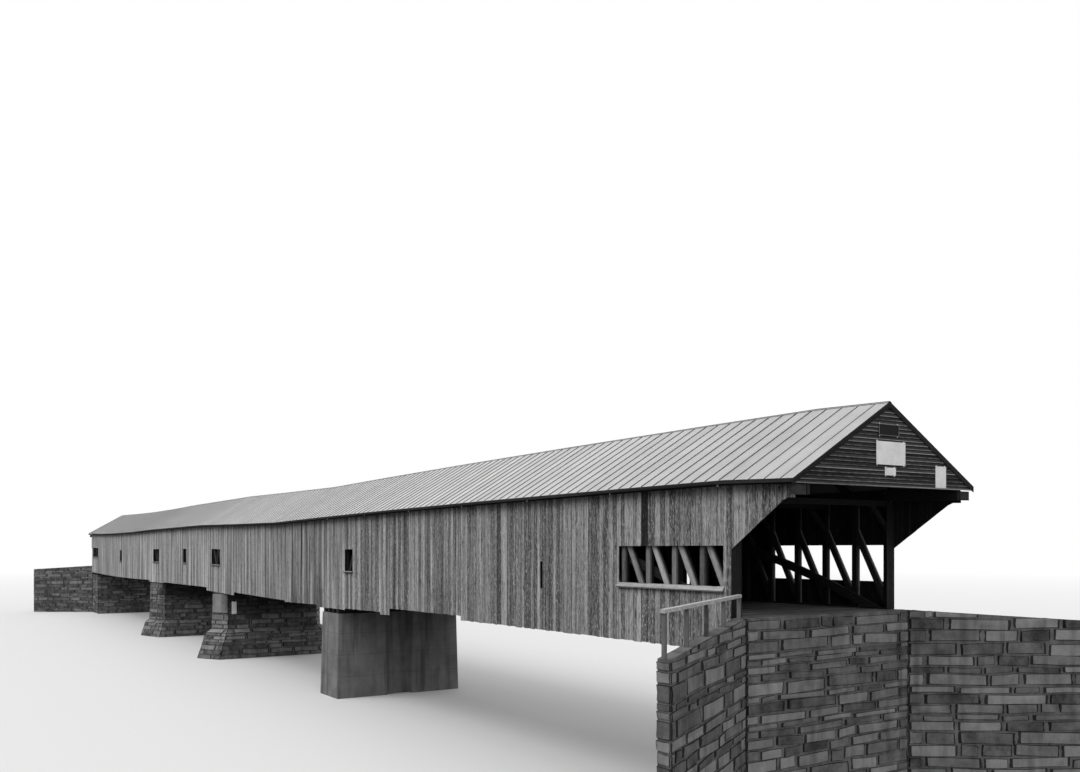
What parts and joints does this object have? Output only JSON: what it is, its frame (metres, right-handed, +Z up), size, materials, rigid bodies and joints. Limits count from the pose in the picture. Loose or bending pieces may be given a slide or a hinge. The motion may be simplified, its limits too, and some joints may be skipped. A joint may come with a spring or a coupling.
{
  "type": "covered timber bridge, 1:10 scale model",
  "caption": "Long covered timber bridge on stone and concrete piers: board walls with cut windows, sagging truss frames and a seamed metal gable roof, at a tenth of full size.",
  "frame": {"origin": "centre of the middle pier's foot, on the ground", "axes": "+X along the bridge to the near portal, +Y to the north wall, +Z up"},
  "size_m": [12.5548, 1.9882, 1.3065],
  "materials": {
    "stone": "rough laid rubble",
    "concrete": "weathered concrete",
    "old_timber": "rough sawn, darkened",
    "deck_plank": "worn planks",
    "grey_boards": "weathered bare boards",
    "pale_boards": "bare newer boards",
    "dark_clapboard": "dark stained clapboards",
    "dark_trim": "dark painted boards",
    "roof_metal": "standing seam sheet"
  },
  "bodies": {
    "root": {"approach_rail": "pale_boards", "approach_rail_posts": "old_timber", "bearing_timbers": "old_timber", "bolsters": "old_timber", "deck": "deck_plank", "eave_fascias": "dark_trim", "far_abutment": "stone", "far_gable": "dark_clapboard", "far_pier": "stone", "far_pier_base": "stone", "far_portal_wings": "grey_boards", "far_wing_walls": "stone", "floor_beams": "old_timber", "gable_girts": "old_timber", "knee_braces": "old_timber", "middle_pier": "stone", "middle_pier_base": "stone", "near_abutment": "stone", "near_gable": "dark_clapboard", "near_pier": "concrete", "near_portal_wings": "grey_boards", "near_wing_walls": "stone", "north_arches": "old_timber", "north_braces": "old_timber", "north_lower_chord": "old_timber", "north_posts": "old_timber", "north_roof": "roof_metal", "north_siding": "grey_boards", "north_wall_plate": "old_timber", "plate_end_boxes": "pale_boards", "portal_casings": "pale_boards", "rafters": "old_timber", "rake_boards": "dark_trim", "ridge_cap": "roof_metal", "south_arches": "old_timber", "south_braces": "old_timber", "south_lower_chord": "old_timber", "south_posts": "old_timber", "south_roof": "roof_metal", "south_siding": "grey_boards", "south_wall_plate": "old_timber", "stringers": "old_timber", "tie_beams": "old_timber", "window_sills": "pale_boards"}
  },
  "joints": []
}
